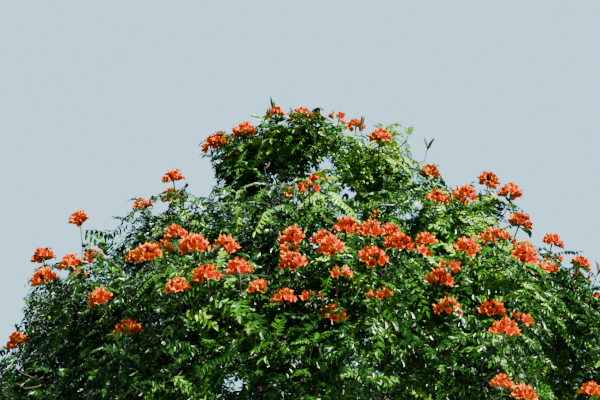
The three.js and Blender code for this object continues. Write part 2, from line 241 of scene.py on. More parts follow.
# A bell: its cup with five flared lobes, their frilled margin, and the sheath that it comes out of.
# Each ring has its height, radius and wave, how much it ruffles, and if it flares as the bell opens.
BELL_LENGTH = (0.082, 0.102)
BELL_STRAY = 0.28
BELL_ROLL = 0.5
BELL_BEND = 0.16
BELL_ROUND = 20
BELL_FOOT = np.array([[0.0, 0.0, 0.03]])
BELL_RINGS = ((0.36, 0.260, 0.0, 0, False), (0.62, 0.370, 0.04, 1, False), (0.82, 0.450, 0.11, 2, True))
THROAT_RINGS = 2
BELL_OPENNESS = (0.0, 0.3, 0.5, 0.7, 0.9, 1.0, 1.0)
BELL_FLARE = {"reach": (0.72, 1.15), "sink": 0.08}
LOBE_WAVE = np.tile([-1.0, 0.45, 0.8, 0.45], 5)
LOBE_LIFT = 0.8
LOBE_COLOURS = ("orange", "scarlet", "red")
RUFFLE = {"out": 0.075, "lift": 0.7}
FRILL = {"reach": 1.14, "wave": 0.06, "ruffle": 0.09, "rise": 0.03, "wave_rise": 0.03, "rise_ruffle": 0.08}
SHEATH_RINGS = ((0.0, 0.04), (0.26, 0.16))
SHEATH_SIDES = 4

# Buds: each ring has its height, radius and bend.
BUDS_A_HEAD = 12
BUD_RINGS = ((0.0, 0.07, 0.0), (0.45, 0.17, 0.02), (0.8, 0.11, 0.07))
BUD_TIP = np.array([[0.16, 0.0, 1.0]])
BUD_SIDES = 3
BUD_LENGTH = 0.066
BUD_SIZES = (0.75, 1.1)
BUD_OUT = 0.012
BUD_UPRIGHT = 0.35
BUD_SPREAD = {"young": 0.85, "open": 0.5}

# Spent stalks with upright pods
POD_CHANCE = {"crest": 0.3, "top": 0.12, "upper": 0.06, "shoulder": 0.06, "skirt": 0.0}
POD_UPRIGHT = 0.7
POD = {"length": 0.165, "width": 0.017, "depth": 0.010, "bow": 0.014}
POD_RINGS = ((0.12, 0.5), (0.35, 1.0), (0.65, 0.9), (0.88, 0.45))
POD_SIDES = 6
POD_SCATTER = {"way": 0.3, "foot": 0.05, "size": (0.8, 1.1)}
PODS_A_STALK = (1, 4)
STALK_LENGTH = (0.13, 0.22)
STALK_RADIUS = {"head": 0.009, "pods": 0.005}
STALK_SWELL = (0.8, 1, 1.35)
STALK_SIDES = 5
STALK_FOOT = 0.02

# Shoots that stand out of their mass, each with a head: how far the tip is from the mass's middle.
TALL_LEAN = np.array([0.12, 0.12, 0])
TALL_PULLS = (0.1, 0.4)
TALL_SHOOTS = {
    "crest_1": ((-0.28, -0.1, 0.14), (0.0, -0.15, 0.13), (0.17, 0.05, 0.18)),
    "top_1": ((-0.23, -0.1, 0.42),),
    "top_2": ((-0.35, -0.1, 0.21), (-0.01, -0.1, 0.39)),
    "upper_1": ((0.36, -0.1, 0.76), (0.60, -0.2, 0.56), (-0.33, -0.3, 0.79), (0.07, -0.1, 0.63)),
    "shoulder_5": ((0.2, -0.1, 0.98),),
    "shoulder_6": ((0.14, 0.0, 1.18), (-0.25, 0.0, 0.74)),
    "shoulder_8": ((-0.15, -0.9, -0.29), (0.12, -0.9, -0.18), (0.42, -0.78, -0.10), (0.61, -0.7, -0.28)),
    "shoulder_9": ((-0.58, -0.55, -0.41), (-0.33, -0.75, -0.43), (-0.08, -0.9, -0.23), (0.32, -0.75, -0.41)),
    "shoulder_10": ((-0.51, -0.75, -0.23), (-0.40, -0.8, -0.10), (0.02, -0.7, -0.53)),
    "skirt_1": ((-0.27, -0.9, -0.37),),
    "skirt_9": ((0.5, -0.5, -0.52), (0.28, -0.75, -0.45), (0.30, -0.93, 0.03)),
}

# Camera, which stands at VIEWER, and floor
PICTURE_WIDTH = 600
FOCAL_PIXELS = 1971
SENSOR_WIDTH = 36.0
CAMERA_TILT = 14
CLIP_END = 200
FLOOR = {"radius": 60, "sides": 96, "dark": (0.104, 0.106, 0.110), "pale": (0.118, 0.120, 0.125)}

UP = np.array([0.0, 0.0, 1.0])
NEAR_UPRIGHT = 0.9
OFF_UPRIGHT = np.array([0.013, 0.007, 0])
SLOPE_STEP = 0.01
ANY_TURN = 6.28  # a full turn, near enough for a random one
GOLDEN_ANGLE = math.pi * (3 - math.sqrt(5))
HEART = np.array([CROWN_SHIFT, 0.0, HEART_HEIGHT])


def mix(low, high, share):
    return low + (high - low) * share


def unit(v):
    v = np.asarray(v, dtype=float)
    return v / norm(v, axis=-1, keepdims=True)


def heading(bearing, climb=0.0):
    flat = math.cos(climb)
    return np.array([math.cos(bearing) * flat, math.sin(bearing) * flat, math.sin(climb)])


def swung(a, b, angle):
    """The direction a, swung towards b."""
    return a * math.cos(angle) + b * math.sin(angle)


def seeded_draws(seed):
    state = seed
    while True:
        state = state * DRAW_FACTOR % DRAW_RANGE
        yield state / DRAW_RANGE


class Path:
    """A smooth curve through control points, measured by its length."""

    def __init__(self, *controls, samples=PATH_SAMPLES["limb"]):
        t = np.linspace(0, 1, samples + 1)[:, None]
        last = len(controls) - 1
        self.places = sum(
            math.comb(last, i) * (1 - t) ** (last - i) * t**i * np.asarray(c)
            for i, c in enumerate(controls)
        )
        runs = np.concatenate([[0], np.cumsum(norm(np.diff(self.places, axis=0), axis=1))])
        self.length = runs[-1]
        self.marks = runs / runs[-1]

    def at(self, share):
        return np.stack([np.interp(share, self.marks, self.places[:, k]) for k in range(3)], -1)

    def along(self, share):
        share = np.asarray(share, dtype=float)
        return unit(self.at(np.minimum(share + SLOPE_STEP, 1)) - self.at(np.maximum(share - SLOPE_STEP, 0)))


# The crown's rule: masses, their spaces and the limbs that carry them


class Mass:
    def __init__(self, ring, index, bearing, middle, reach, rise):
        self.ring, self.index, self.name = ring, index, f"{ring}_{index + 1}"
        self.bearing, self.middle, self.reach, self.rise = bearing, middle, reach, rise
        self.half = np.array([reach, reach, rise])
        self.outward = unit(middle - np.array([0, 0, HEART_HEIGHT]))

    def spread(self, points):
        return norm((points - self.middle) / self.half, axis=-1)

    def holds(self, points):
        beside = np.all((points - self.middle) @ self.facing.T < self.limit, axis=-1)
        return (self.spread(points) < 1) & beside


def from_axis(points):
    return np.hypot(points[..., 0] - CROWN_SHIFT, points[..., 1])


def in_opening(points, size=1.0):
    """True if a point stands in front of, in or behind an opening or a clear place."""
    points = np.atleast_2d(points)
    seen = VIEWER + (points - VIEWER) * (-VIEWER[1] / (points[:, 1] - VIEWER[1]))[:, None]
    hidden = np.zeros(len(points), dtype=bool)
    for x, z, wide, high in OPENINGS + CLEAR_PLACES:
        hidden |= norm((seen[:, [0, 2]] - (x, z)) / (wide, high), axis=1) < size
    return bool(hidden.any())


def make_masses():
    masses = []
    for ring, distance, height, reach, rise, bearings in CROWN_RINGS:
        for index, degrees in enumerate(bearings):
            bearing = math.radians(degrees)
            far = distance / SHOULDER_RING
            lift = far * (RIGHT_LIFT * math.cos(bearing) + BACK_LIFT * math.sin(bearing))
            middle = heading(bearing) * distance + np.array([CROWN_SHIFT, 0, height + lift])
            masses.append(Mass(ring, index, bearing, middle, reach, rise))
    for mass in masses:
        others = [other for other in masses if other is not mass]
        across = np.array([other.middle - mass.middle for other in others])
        shares = np.array([mass.reach / (mass.reach + other.reach) for other in others])
        mass.limit = norm(across, axis=1) * shares - SPACE_GAP
        mass.facing = unit(across)
    return masses


def trunk_radius(share):
    return mix(TRUNK_RADIUS, TRUNK_TIP_RADIUS, share**TRUNK_TAPER)


def trunk_middle(height):
    share = height / TRUNK_HEIGHT
    sway = np.sin(share * TRUNK_SWAY["turns"] * 2 * math.pi)
    right = TRUNK_LEAN["right"] * share ** TRUNK_LEAN["growth"] + TRUNK_SWAY["right"] * sway
    back = TRUNK_SWAY["back"] * sway - TRUNK_LEAN["front"] * share
    return np.stack([right, back, np.asarray(height, dtype=float)], -1)


class Bough:
    def __init__(self, mass, kind, start, way):
        self.base, self.tip, _ = LIMBS[kind]
        towards = unit(mass.middle - start)
        entry = mass.middle - towards * ENTRY_SHARE * mass.rise
        length = norm(entry - start)
        arrival = unit(towards + UP * LIMB_RISE)
        self.path = Path(
            start, start + way * length * LIMB_PULLS[0], entry - arrival * length * LIMB_PULLS[1], entry
        )

    def radius(self, share):
        swell = 1 + COLLAR["swell"] * np.exp(-share * COLLAR["fade"])
        return mix(self.base, self.tip, share**LIMB_TAPER) * swell


def leader(mass, count):
    low, high = LEADER_SPANS[mass.ring]
    share = mass.index * LEADER_SPACING % 1 if count > 2 else mass.index
    way = heading(mass.bearing, math.radians(LIMBS[mass.ring][2]))
    return Bough(mass, mass.ring, trunk_middle(mix(low, high, share)), way)


def fork(mass, carrier, kind):
    share = FORK_SHARE[mass.ring]
    start = carrier.path.at(share)
    away = unit((mass.middle - start) * np.array([1, 1, 0]))
    climb = math.radians(LIMBS[kind][2])
    way = swung(away, UP, climb) + carrier.path.along(share) * FORK_LEAN
    return Bough(mass, kind, start, unit(way))


def turn_between(a, b):
    return abs(math.atan2(math.sin(a - b), math.cos(a - b)))


def make_boughs(masses):
    boughs = {}
    for mass in masses:
        mates = [other for other in masses if other.ring == mass.ring]
        if mass.ring == "crest":
            bough = Bough(mass, "crest", trunk_middle(TRUNK_HEIGHT), UP)
        elif mass.ring == "skirt":
            shoulders = [other for other in masses if other.ring == "shoulder"]
            nearest = min(shoulders, key=lambda other: turn_between(other.bearing, mass.bearing))
            bough = fork(mass, boughs[nearest.name], "skirt")
        elif mass.ring != "top" and mass.index % 2:
            bough = fork(mass, boughs[mates[mass.index - 1].name], f"{mass.ring}_fork")
        else:
            bough = leader(mass, len(mates))
        boughs[mass.name] = bough
    return boughs


def stem_path(mass, bough):
    start = bough.path.at(1.0)
    top = mass.middle + UP * mass.rise * STEM_TOP
    bend = start + bough.path.along(1.0) * norm(top - start) * STEM_BEND
    return Path(start, bend, top)


def drawn_in(mass, direction, share):
    """The end of a branch in one direction, pulled in until it has room in the mass's space."""
    across = direction * mass.half
    for pull in BRANCH_PULLS:
        if mass.holds(mass.middle + across * (share * pull + BRANCH_ROOM)):
            return mass.middle + across * share * pull
    return None


def branch_paths(mass, stem, order):
    """Each direction takes four draws, as in the solids, and only the first is used here."""
    draws = seeded_draws(SEED + order * SEED_STEP)
    paths = []
    for k in range(BRANCH_DIRECTIONS):
        step = (k + 0.5) / BRANCH_DIRECTIONS
        climb = math.asin(mix(LOWEST_RISE, 1, step))
        direction = heading(mass.bearing + k * GOLDEN_ANGLE, climb)
        reach = [next(draws) for _ in range(DRAWS_A_BRANCH)][0]
        end = drawn_in(mass, direction, BRANCH_SHARE * mix(*BRANCH_REACHES, reach))
        if end is None or direction @ mass.outward < INWARD_LIMIT:
            continue
        start = stem.at(mix(*STEM_SPAN, step))
        middle = mix(start, end, 0.5) - UP * BRANCH_SAG
        paths.append(Path(start, middle, end, samples=PATH_SAMPLES["branch"]))
    return paths


# Shapes


class Batch:
    """Faces gathered from many small shapes into the arrays of one mesh."""

    def __init__(self):
        self.places, self.quads, self.triangles, self.count = [], [], [], 0

    def add(self, places, quads, triangles=()):
        """places is (copies, points, 3); quads and triangles index one copy's points."""
        copies, points = places.shape[:2]
        starts = (self.count + points * np.arange(copies))[:, None, None]
        for rows, store, corners in ((quads, self.quads, 4), (triangles, self.triangles, 3)):
            if len(rows):
                store.append((starts + np.asarray(rows)[None]).reshape(-1, corners))
        self.places.append(places.reshape(-1, 3))
        self.count += copies * points

    def mesh(self, name, smooth):
        mesh = bpy.data.meshes.new(name)
        places = np.concatenate(self.places).astype(np.float32)
        quads = np.concatenate(self.quads)
        triangles = np.concatenate(self.triangles or [np.empty((0, 3), int)])
        corners = np.concatenate([quads.ravel(), triangles.ravel()]).astype(np.int32)
        starts = [np.arange(len(quads)) * 4, len(quads) * 4 + np.arange(len(triangles)) * 3]
        starts = np.concatenate(starts).astype(np.int32)
        mesh.vertices.add(len(places))
        mesh.vertices.foreach_set("co", places.ravel())
        mesh.loops.add(len(corners))
        mesh.loops.foreach_set("vertex_index", corners)
        mesh.polygons.add(len(starts))
        mesh.polygons.foreach_set("loop_start", starts)
        mesh.polygons.foreach_set("use_smooth", np.full(len(starts), smooth))
        mesh.update(calc_edges=True)
        mesh.validate()
        return mesh


def carried_frames(places):
    """Two directions across a row of places, turned as little as can be from one to the next."""
    ways = unit(np.gradient(places, axis=0))
    side = unit(np.cross(ways[0], UP if abs(ways[0] @ UP) < NEAR_UPRIGHT else np.array([1.0, 0, 0])))
    sides = []
    for way in ways:
        side = unit(side - way * (side @ way))
        sides.append(side)
    sides = np.array(sides)
    return sides, np.cross(ways, sides)


def columns(rows):
    return [np.array(column) for column in zip(*rows)]


def turns_round(sides):
    return np.arange(sides) * 2 * math.pi / sides


def level_ring(turns, height, radius, bend=0.0):
    return np.stack([radius * np.cos(turns) + bend, radius * np.sin(turns), np.full(len(turns), height)], -1)


def level_rings(rings, sides):
    return [level_ring(turns_round(sides), *ring) for ring in rings]


def tube_quads(steps, sides):
    ring = np.arange(sides)
    after = (ring + 1) % sides
    rows = np.arange(steps)[:, None] * sides
    corners = [rows + ring, rows + after, rows + sides + after, rows + sides + ring]
    return np.stack(corners, -1).reshape(-1, 4)


def cap(first, sides, middle, outward):
    ring = first + np.arange(sides)
    after = first + (np.arange(sides) + 1) % sides
    pair = (ring, after) if outward else (after, ring)
    return np.stack([*pair, np.full(sides, middle)], -1)


def barked(points, reach, scale):
    """The reach of each point, with shallow upright ridges and lumps, deeper on thicker wood."""
    across, along = LUMPS["across"], LUMPS["along"]
    rough = np.array([
        RIDGES["level"] - abs(noise.noise(Vector((x, y, z * RIDGES["stretch"])))) * RIDGES["height"]
        + noise.noise(Vector((x * across, y * across, z * along))) * LUMPS["height"]
        for x, y, z in points.reshape(-1, 3) * scale
    ]).reshape(reach.shape)
    return reach * (1 + BARK_DEPTH * rough)


def add_skin(batch, middles, around, reach, bark_scale):
    """A closed tube: rings of points that stand out from their middles, and a cap at each end."""
    if bark_scale:
        reach = barked(middles[:, None] + around * reach[..., None], reach, bark_scale)
    steps, sides = reach.shape
    rings = (middles[:, None] + around * reach[..., None]).reshape(-1, 3)
    points = np.concatenate([rings, middles[:1], middles[-1:]])
    ends = [cap(0, sides, len(rings), False), cap(len(rings) - sides, sides, len(rings) + 1, True)]
    batch.add(points[None], tube_quads(steps - 1, sides), np.concatenate(ends))


def add_tube(batch, places, radii, sides, bark_scale=None):
    side, other = carried_frames(places)
    turns = turns_round(sides)
    around = side[:, None] * np.cos(turns)[None, :, None] + other[:, None] * np.sin(turns)[None, :, None]
    reach = np.broadcast_to(np.asarray(radii)[:, None], (len(places), sides))
    add_skin(batch, places, around, reach, bark_scale)


def add_trunk(batch):
    heights = TRUNK_HEIGHT * np.linspace(0, 1, TRUNK_STEPS) ** STEP_GROWTH
    turns = turns_round(TRUNK_SIDES)
    lobe = 1 + LOBE_DEPTH * np.cos(turns * ROOT_LOBES)
    flare = FLARE_RADIUS * np.exp(-heights / FLARE_HEIGHT)[:, None] * lobe
    reach = trunk_radius(heights / TRUNK_HEIGHT)[:, None] + flare
    add_skin(batch, trunk_middle(heights), level_ring(turns, 0.0, 1.0)[None], reach, BARK_SCALE["trunk"])


def add_bough(batch, bough):
    steps = max(LEAST_LIMB_STEPS, int(bough.path.length / LIMB_STEP))
    shares = np.linspace(0, 1, steps)
    sides = LIMB_SIDES["thick" if bough.base > THICK_LIMB else "thin"]
    add_tube(batch, bough.path.at(shares), bough.radius(shares), sides, BARK_SCALE["limb"])


def add_twig(batch, path, radii, kind):
    count, sides = TWIG_MESH[kind]
    shares = np.linspace(0, 1, count)
    add_tube(batch, path.at(shares), mix(*radii, shares), sides)


# Growth: shoots, the leaves on them and the heads at their tips


class Shoot:
    def __init__(self, mass, tip, axis, path, outer):
        self.mass, self.tip, self.axis, self.path, self.outer = mass, tip, axis, path, outer
        self.blooms = self.bears_pods = False


def spaced_directions(count, turn):
    for k in range(count):
        climb = math.asin(1 - 2 * (k + 0.5) / count)
        yield heading(turn + k * GOLDEN_ANGLE, climb)


def nearest_start(paths, tip):
    """Where a shoot leaves the branches: the place on them that is nearest, some way back."""
    best = None
    for path in paths:
        places = path.at(START_SHARES)
        gaps = norm(places - tip, axis=1)
        k = max(0, int(np.argmin(gaps)) - STARTS_BACK)
        if best is None or gaps[k] < best[0]:
            best = (gaps[k], places[k], path.along(START_SHARES[k]))
    return best[1], best[2]


def shoot_path(mass, tip, axis, pulls):
    start, way = nearest_start(mass.paths, tip)
    gap = norm(tip - start)
    controls = (start, start + way * gap * pulls[0], tip - axis * gap * pulls[1], tip)
    return Path(*controls, samples=PATH_SAMPLES["shoot"])


def grow_shoots(mass, rng):
    shoots = []
    plan = [(d, True) for d in spaced_directions(SHOOT_DIRECTIONS, mass.bearing)]
    plan += [(d, False) for d in spaced_directions(INNER_SHOOTS, mass.bearing + INNER_TURN)]
    for direction, outer in plan:
        direction = unit(direction + rng.normal(0, SHOOT_SCATTER, 3))
        share = mix(*(SHOOT_SHARES if outer else INNER_SHARE), rng.random())
        tip = drawn_in(mass, direction, share) if outer else mass.middle + direction * mass.half * share
        if tip is None or not mass.holds(tip) or tip[2] > SHOOT_TOP:
            continue
        if in_opening(tip, rng.uniform(*OPENING_SHARES["shoot"])):
            continue
        if direction @ mass.outward < FAR_INWARD and rng.random() > INWARD_KEPT:
            continue
        aim = unit(tip - HEART) * SHOOT_AIM["out"] + direction * SHOOT_AIM["along"] + UP * SHOOT_AIM["up"]
        axis = unit(aim + rng.normal(0, SHOOT_AIM["scatter"], 3))
        shoots.append(Shoot(mass, tip, axis, shoot_path(mass, tip, axis, SHOOT_PULLS), outer))
    return shoots


def tall_shoot(mass, away):
    tip = mass.middle + np.array(away)
    axis = unit(UP + (tip - HEART) * TALL_LEAN)
    shoot = Shoot(mass, tip, axis, shoot_path(mass, tip, axis, TALL_PULLS), False)
    shoot.blooms = True
    return shoot


def choose_bloom(masses, shoots, rng):
    """A head needs room: nothing of the crown ahead of it, and no other head beside it."""
    taken = []
    low, high = BLOOM_HEIGHTS
    for shoot in shoots:
        chance = np.clip((shoot.tip[2] - low) / (high - low), LEAST_CHANCE, 1.0)
        chance *= BLOOM_CHANCE[shoot.mass.ring]
        right, back = shoot.tip[:2] / SHOULDER_RING
        willing = rng.random() < chance * (1 + BLOOM_SIDE["right"] * right - BLOOM_SIDE["front"] * back)
        spacing = rng.uniform(*HEAD_SPACING)
        clear = all(norm(shoot.tip - other) > spacing for other in taken)
        ahead = shoot.tip + unit(UP * ROOM_UPRIGHT + unit(shoot.tip - HEART)) * HEAD_ROOM
        open_ahead = not any(mass.holds(ahead) for mass in masses)
        middle = head_middle(shoot)
        inside = from_axis(middle) < HEAD_EDGE and middle[2] < HEAD_TOP and not in_opening(middle)
        if shoot.outer and willing and clear and open_ahead and inside:
            shoot.blooms = True
            taken.append(shoot.tip)
        elif shoot.outer and open_ahead and shoot.axis[2] > POD_UPRIGHT and clear:
            shoot.bears_pods = rng.random() < POD_CHANCE[shoot.mass.ring]


def lightness(shoot, rng):
    place = Vector(shoot.tip * TONE_DRIFT["scale"] + TONE_DRIFT["shift"])
    value = noise.noise(place) * TONE_DRIFT["share"] + rng.normal(0, TONE_SCATTER["shoot"])
    # painted light and shade: lighter or darker by mass, and lighter towards the right, where the key lamp
    # shines from
    value += PAINTED_LIGHT_AND_SHADE_BY_MASS.get(shoot.mass.name, 0) + PAINTED_SUNLIT_SIDE_TONE * shoot.tip[0] / SHOULDER_RING
    # painted light and shade by height, partly the darker green of shade leaves low in the crown
    return value + SHADE_LEAF_AND_PAINTED_LIGHT_BY_HEIGHT * float(np.clip(shoot.tip[2] - SHADE_HEIGHT, *SHADE_SPAN))


def choose_tone(value):
    return next((tone for tone, least in LEAST_LIGHTNESS if value > least), TONES[0])


def within_crown(masses, points):
    inside = np.zeros(points.shape[:-1], dtype=bool)
    for mass in masses:
        inside |= mass.spread(points) < 1 + REACH_EASE
    return inside & (from_axis(points) < CROWN_EDGE) & (points[..., 2] < CROWN_TOP)


def leaf_frames(leaves, shares):
    """Places along each leaf's midrib, and the ways along, across and above it at each."""
    root, way, length, droop, above = leaves
    share = np.array(shares)[None, :, None]
    run = way[:, None] * (length[:, None, None] * share * (1 - LEAF_CURL * share))
    places = root[:, None] + run - UP * (droop * length)[:, None, None] * share**2
    ways = unit(way[:, None] * (1 - 2 * LEAF_CURL * share) - UP * 2 * droop[:, None, None] * share)
    sides = unit(np.cross(ways, above[:, None]))
    return places, ways, sides, np.cross(sides, ways)


def sideways(axis, rng):
    """Two directions across an axis, at a random turn."""
    side = unit(np.cross(axis, heading(rng.random() * ANY_TURN)))
    return side, np.cross(axis, side)


def leaning(axis, sides, turn, polar):
    """The direction out from an axis at a turn, and the way that leans towards it by polar."""
    out = swung(*sides, turn)
    return out, swung(axis, out, polar)


def grow_leaves(masses, shoots, limbs, rng):
    rows = {tone: [] for tone in TONES}
    for shoot in shoots:
        count = LEAVES_A_SHOOT[shoot.outer]
        kind = "fine" if shoot.outer else "broad"
        first = LEAF_POLARS["bloom" if shoot.blooms else "plain"]
        sides = sideways(shoot.axis, rng)
        behind = np.linspace(*LEAF_FEET, count) * LEAF_FOOT_REACH
        feet = shoot.path.at(1 - behind / max(LEAF_FOOT_REACH, shoot.path.length))
        for j, foot in enumerate(feet):
            polar = mix(first, LEAF_POLARS["last"], j / (count - 1))
            polar = math.radians(polar + rng.normal(0, LEAF_POLARS["scatter"]))
            turn = j * GOLDEN_ANGLE + rng.normal(0, LEAF_TURN_SCATTER)
            way = unit(leaning(shoot.axis, sides, turn, polar)[1])
            lying = LEAF_LYING["least"] + LEAF_LYING["more"] * math.sin(polar)
            droop = mix(*LEAF_DROOP, rng.random()) * lying
            facing = UP * LEAF_FACING["up"] + unit(foot - HEART) * LEAF_FACING["out"]
            above = unit(facing + rng.normal(0, LEAF_FACING["scatter"], 3))
            for length in (mix(*LEAF_LENGTH, rng.random()), *SHORT_LEAVES):
                down = UP * droop * length * LEAF_OVERREACH["down"]
                tip = foot + way * length * LEAF_OVERREACH["along"] - down
                seen = np.array([tip, (tip + foot) / 2])
                if not within_crown(masses, tip) or in_opening(seen, rng.uniform(*OPENING_SHARES["leaf"])):
                    continue
                start, run = Vector(foot + way * LIMB_CLEARANCE), tip - foot
                if limbs.ray_cast(start, Vector(unit(run)), norm(run))[0] is None:
                    tone = choose_tone(shoot.lightness + rng.normal(0, TONE_SCATTER["leaf"]))
                    rows[tone].append((shoot.mass.ring, kind, foot, way, length, droop, above))
                break
    return rows


def add_leaves(batch, rows, kind, rng):
    rows = [row[2:] for row in rows if row[1] == kind]
    if not rows:
        return
    leaves = columns(rows)
    pairs, leaflet = LEAF_KINDS[kind]["pairs"], LEAF_KINDS[kind]["length"]
    stations = np.append(np.linspace(*LEAF_SPAN, pairs), 1.0)
    tapers = 1 - LEAFLET_TAPER["depth"] * (2 * stations[:pairs] - LEAFLET_TAPER["widest"]) ** 2
    copies = len(rows)
    frames = leaf_frames(leaves, stations)
    places, ways, sides, normals = (part[:, :pairs] for part in frames)
    size = (leaves[2] / LEAF_LENGTH[1])[:, None]
    lean = np.radians(np.linspace(*LEAFLET_LEAN, pairs))[None, :, None]
    parts = []
    hang = rng.uniform(*LEAFLET_HANG, (copies, 1, 1))
    for hand in (1, -1):
        stretch = np.cos(lean) * hand * sides + np.sin(lean) * ways
        sag = hang + rng.normal(0, LEAFLET_SCATTER["hang"], (copies, pairs, 1))
        stretch = stretch - normals * sag
        stretch = unit(stretch + rng.normal(0, LEAFLET_SCATTER["stretch"], stretch.shape))
        tilt = rng.normal(0, LEAFLET_SCATTER["tilt"], (copies, pairs, 1))
        tilted = ways + normals * tilt
        width = unit(tilted - stretch * np.sum(tilted * stretch, -1, keepdims=True))
        lengths = leaflet * tapers[None] * size * rng.uniform(*LEAFLET_SCATTER["length"], (copies, pairs))
        parts.append((places, stretch, width, np.cross(stretch, width) * -hand, lengths[..., None]))
    parts.append((*(part[:, pairs:] for part in frames), (leaflet * size)[..., None]))
    parts = (np.concatenate(part, 1) for part in zip(*parts))
    base, out, wide, up, long = (part.reshape(-1, part.shape[-1]) for part in parts)
    half = long * LEAF_KINDS[kind]["width"] / leaflet / 2
    fold = up * half * 2 * LEAFLET_FOLD
    outline = [
        base + out * long * along + wide * half * across + fold * folded + up * long * rise
        for along, across, folded, rise in LEAFLET_OUTLINE
    ]
    batch.add(np.stack(outline, 1), LEAFLET_QUADS)
    add_midribs(batch, leaves)


def add_midribs(batch, leaves):
    """Each midrib is a slim three-sided rod in two lengths."""
    places, _, across, over = leaf_frames(leaves, MIDRIB_SHARES)
    corners = [places + MIDRIB_RADII[None, :, None] * swung(across, over, turn) for turn in MIDRIB_TURNS]
    quads = tube_quads(len(MIDRIB_SHARES) - 1, len(MIDRIB_TURNS))
    batch.add(np.stack(corners, 2).reshape(len(places), -1, 3), quads)


def bell_rings(open_by, rng):
    """Rings of points of one bell, a unit long, that rises along +Z and bends towards +X."""
    turns = turns_round(BELL_ROUND)
    rings = []
    for z, r, wave, ruffles, flares in BELL_RINGS:
        ruffle = rng.normal(0, RUFFLE["out"], BELL_ROUND) * ruffles
        flare = mix(*BELL_FLARE["reach"], open_by) if flares else 1
        radius = r * flare * (1 + wave * LOBE_WAVE + ruffle)
        sink = open_by * BELL_FLARE["sink"] if flares else 0
        height = z + wave * LOBE_LIFT * LOBE_WAVE - sink + rng.permutation(ruffle) * RUFFLE["lift"]
        rings.append(level_ring(turns, height, radius))
    reach = FRILL["reach"] + FRILL["wave"] * LOBE_WAVE + rng.normal(0, FRILL["ruffle"], BELL_ROUND)
    height = rings[-1][:, 2] + FRILL["rise"] + FRILL["wave_rise"] * LOBE_WAVE
    height = height + rng.normal(0, FRILL["rise_ruffle"], BELL_ROUND)
    rings.append(np.column_stack([rings[-1][:, :2] * reach[:, None], height]))
    rings = np.array(rings)
    rings[..., 0] += BELL_BEND * rings[..., 2] ** 2
    return rings


def turned(axis, turn):
    """Frames (copies, 3, 3): the last row is each axis, the first looks up from it, turned a little."""
    other = unit(np.cross(UP + OFF_UPRIGHT, axis))
    side = -np.cross(other, axis)
    c, s = np.cos(turn)[:, None], np.sin(turn)[:, None]
    return np.stack([side * c + other * s, other * c - side * s, axis], 1)


def placed(shape, root, frames, size):
    return root[:, None] + np.einsum("pk,nkj->npj", shape, frames) * size[:, None, None]


def head_middle(shoot):
    """A head stands on a short stalk at the shoot's tip, longer where leaves would hide it."""
    beside = 1 - max(0.0, unit(shoot.tip - shoot.mass.middle)[2])
    return shoot.tip + unit(shoot.axis + UP * HEAD_UPRIGHT) * mix(*HEAD_STALK, beside)


def plan_heads(shoots, rng):
    """Rows for every head: root, axis and size of each bell and bud, a bell's colour, and stalks."""
    bells, buds, stalks = [], [], []
    for shoot in shoots:
        if not shoot.blooms:
            continue
        axis = unit(shoot.axis + UP * HEAD_UPRIGHT)
        scale = mix(*HEAD_SCALE, rng.random())
        young = rng.random() < YOUNG_SHARE
        crown = head_middle(shoot)
        stalks.append((shoot.tip - shoot.axis * STALK_FOOT, crown, STALK_RADIUS["head"] * scale))
        sides = sideways(axis, rng)
        tone = int(rng.random() * len(LOBE_COLOURS))
        counts = [rng.integers(*tier["bells"], endpoint=True) for tier in HEAD_TIERS]
        for tier, count in zip(HEAD_TIERS, counts):
            count = tier["young_bells"] if young else count
            begin = rng.random() * ANY_TURN
            for j in range(count):
                turn = begin + (j + rng.uniform(-BELL_STRAY, BELL_STRAY)) * 2 * math.pi / count
                out, way = leaning(axis, sides, turn, math.radians(rng.uniform(*tier["polars"])))
                root = crown + (out * tier["out"] + axis * tier["rise"]) * scale
                bells.append((root, unit(way), mix(*BELL_LENGTH, rng.random()) * scale, tone))
        spread = BUD_SPREAD["young" if young else "open"]
        for k in range(BUDS_A_HEAD):
            polar = math.acos(1 - (k + 0.5) / BUDS_A_HEAD * spread)
            way = leaning(axis, sides, k * GOLDEN_ANGLE, polar)[1]
            buds.append((crown + way * BUD_OUT, unit(way + axis * BUD_UPRIGHT), BUD_LENGTH * scale))
    return bells, buds, stalks


def add_bells(throats, lobes, frills, sheaths, bells, rng):
    shapes = [bell_rings(open_by, rng) for open_by in BELL_OPENNESS]
    kinds = rng.integers(0, len(shapes), len(bells))
    root, axis, size, tone = columns(bells)
    frames = turned(axis, rng.normal(0, BELL_ROLL, len(bells)))

    def band(batch, parts, pick, foot=()):
        shape = np.concatenate(parts)
        quads = tube_quads(len(shape) // BELL_ROUND - 1, BELL_ROUND)
        batch.add(placed(shape, root[pick], frames[pick], size[pick]), quads, foot)

    last = len(BELL_RINGS)
    foot = cap(0, BELL_ROUND, THROAT_RINGS * BELL_ROUND, False)
    for kind, rings in enumerate(shapes):
        band(throats, [*rings[:THROAT_RINGS], BELL_FOOT], kinds == kind, foot)
        for shade, lobe in enumerate(lobes):
            band(lobe, rings[THROAT_RINGS - 1:last], (kinds == kind) & (tone == shade))
        band(frills, rings[last - 1:], kinds == kind)
    sheath = np.concatenate(level_rings(SHEATH_RINGS, SHEATH_SIDES))
    sheaths.add(placed(sheath, root, frames, size), tube_quads(len(SHEATH_RINGS) - 1, SHEATH_SIDES))


def add_buds(batch, buds, rng):
    root, axis, size = columns(buds)
    size = size * rng.uniform(*BUD_SIZES, len(buds))
    shape = np.concatenate([*level_rings(BUD_RINGS, BUD_SIDES), BUD_TIP])
    frames = turned(axis, rng.random(len(buds)) * 2 * math.pi)
    steps = len(BUD_RINGS) - 1
    tips = cap(steps * BUD_SIDES, BUD_SIDES, len(shape) - 1, True)
    batch.add(placed(shape, root, frames, size), tube_quads(steps, BUD_SIDES), tips)


